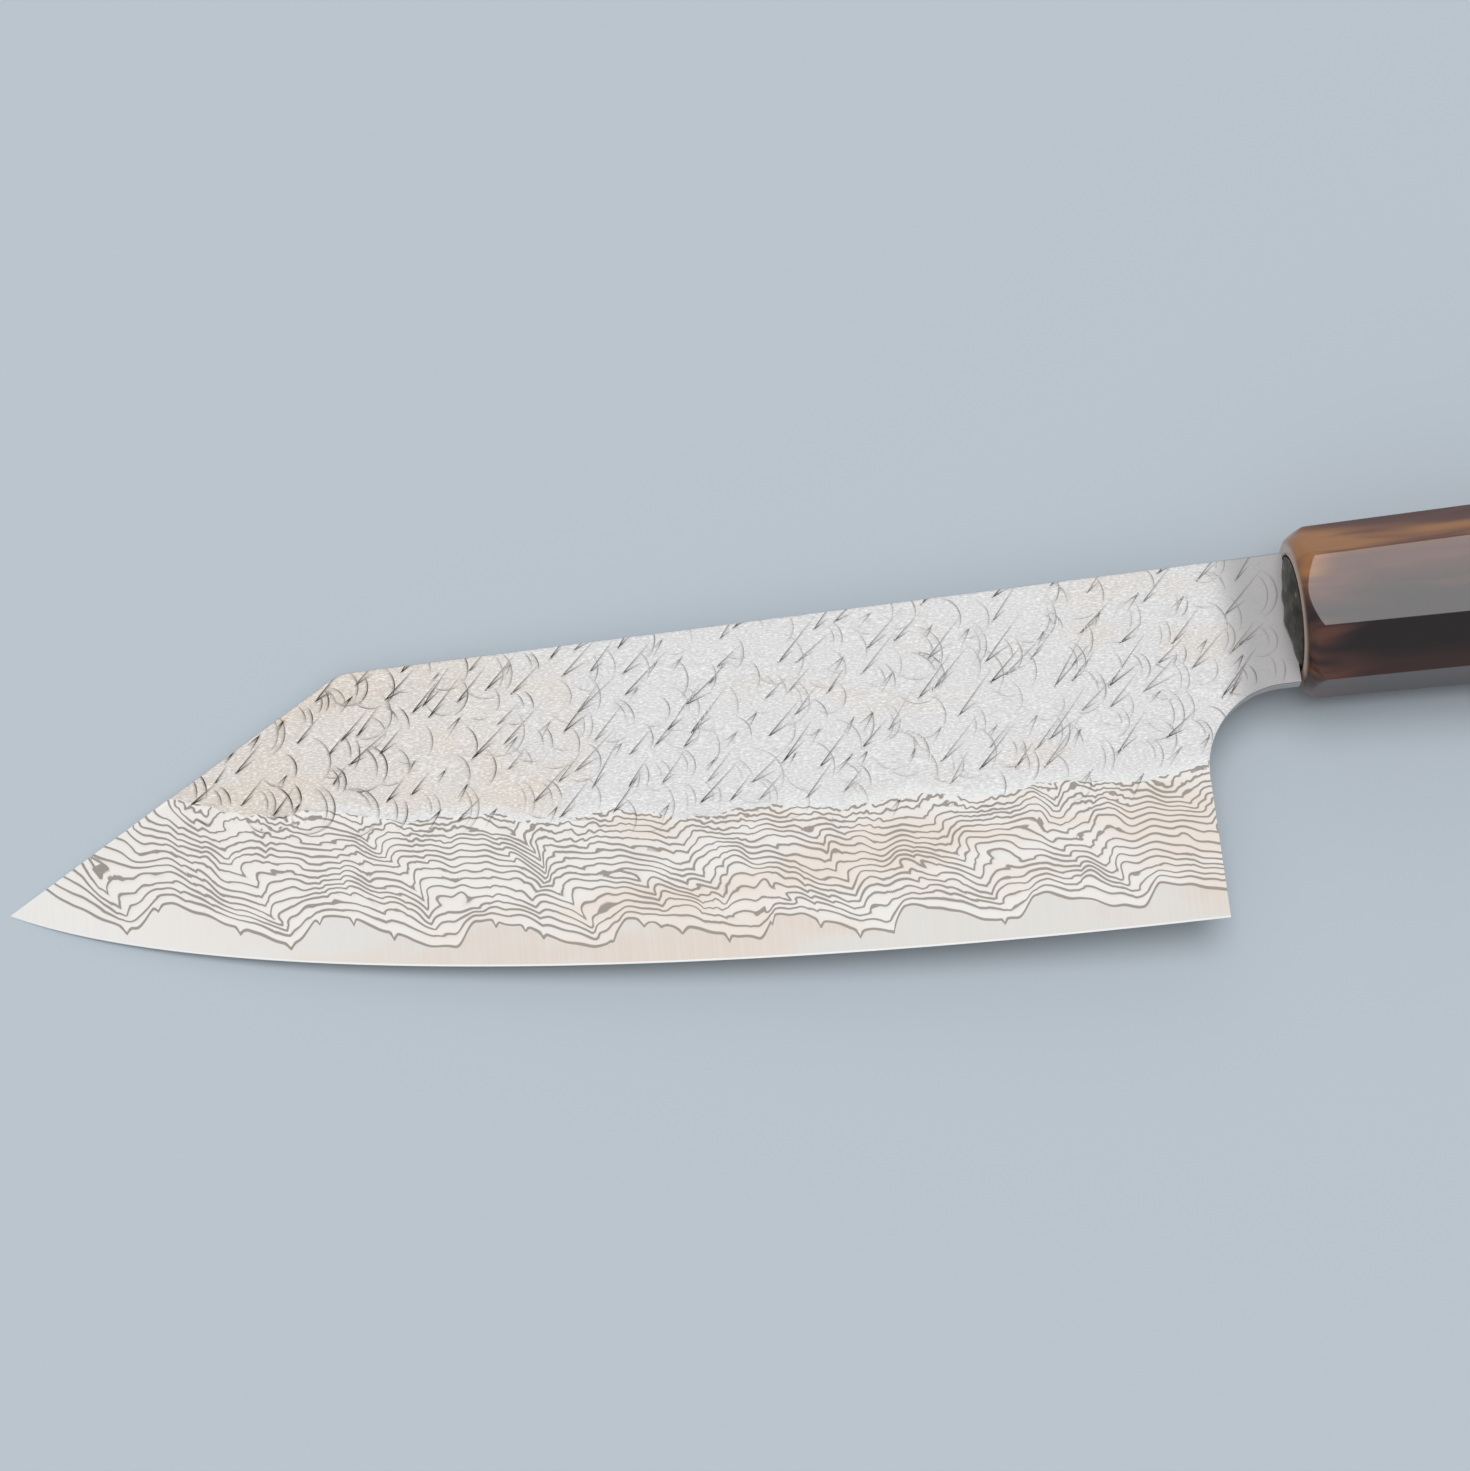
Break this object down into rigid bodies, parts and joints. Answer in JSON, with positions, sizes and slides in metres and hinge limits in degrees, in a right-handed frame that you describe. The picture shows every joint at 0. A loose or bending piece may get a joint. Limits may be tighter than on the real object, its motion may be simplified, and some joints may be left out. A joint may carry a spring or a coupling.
{
  "type": "bunka kitchen knife",
  "caption": "Kitchen knife with a laminated, hammered blade, a slanted clip tip and a tapering octagonal handle with a horn ferrule.",
  "frame": {"origin": "middle of the bottom of the bounding box, with the knife lying on its right side and the blade's plane level", "axes": "+X along the handle's axis from the tip to the butt, +Y from the edge to the spine, +Z out of the left face of the blade"},
  "size_m": [0.3086, 0.0544, 0.025],
  "materials": {
    "core_steel": "fine polished bevel, bare hard steel",
    "damascus_steel": "etched flowing layer lines",
    "hammered_steel": "hammered dents over a fine grained satin",
    "horn": "polished marbled brown horn",
    "dark_wood": "oiled dark straight-grained wood",
    "resin": "dark glossy bedding resin"
  },
  "bodies": {
    "root": {"core_steel": "core_steel", "damascus_left": "damascus_steel", "damascus_right": "damascus_steel", "hammered_skin_left": "hammered_steel", "hammered_skin_right": "hammered_steel", "horn_ferrule": "horn", "handle_body": "dark_wood", "tang_resin": "resin"}
  },
  "joints": []
}
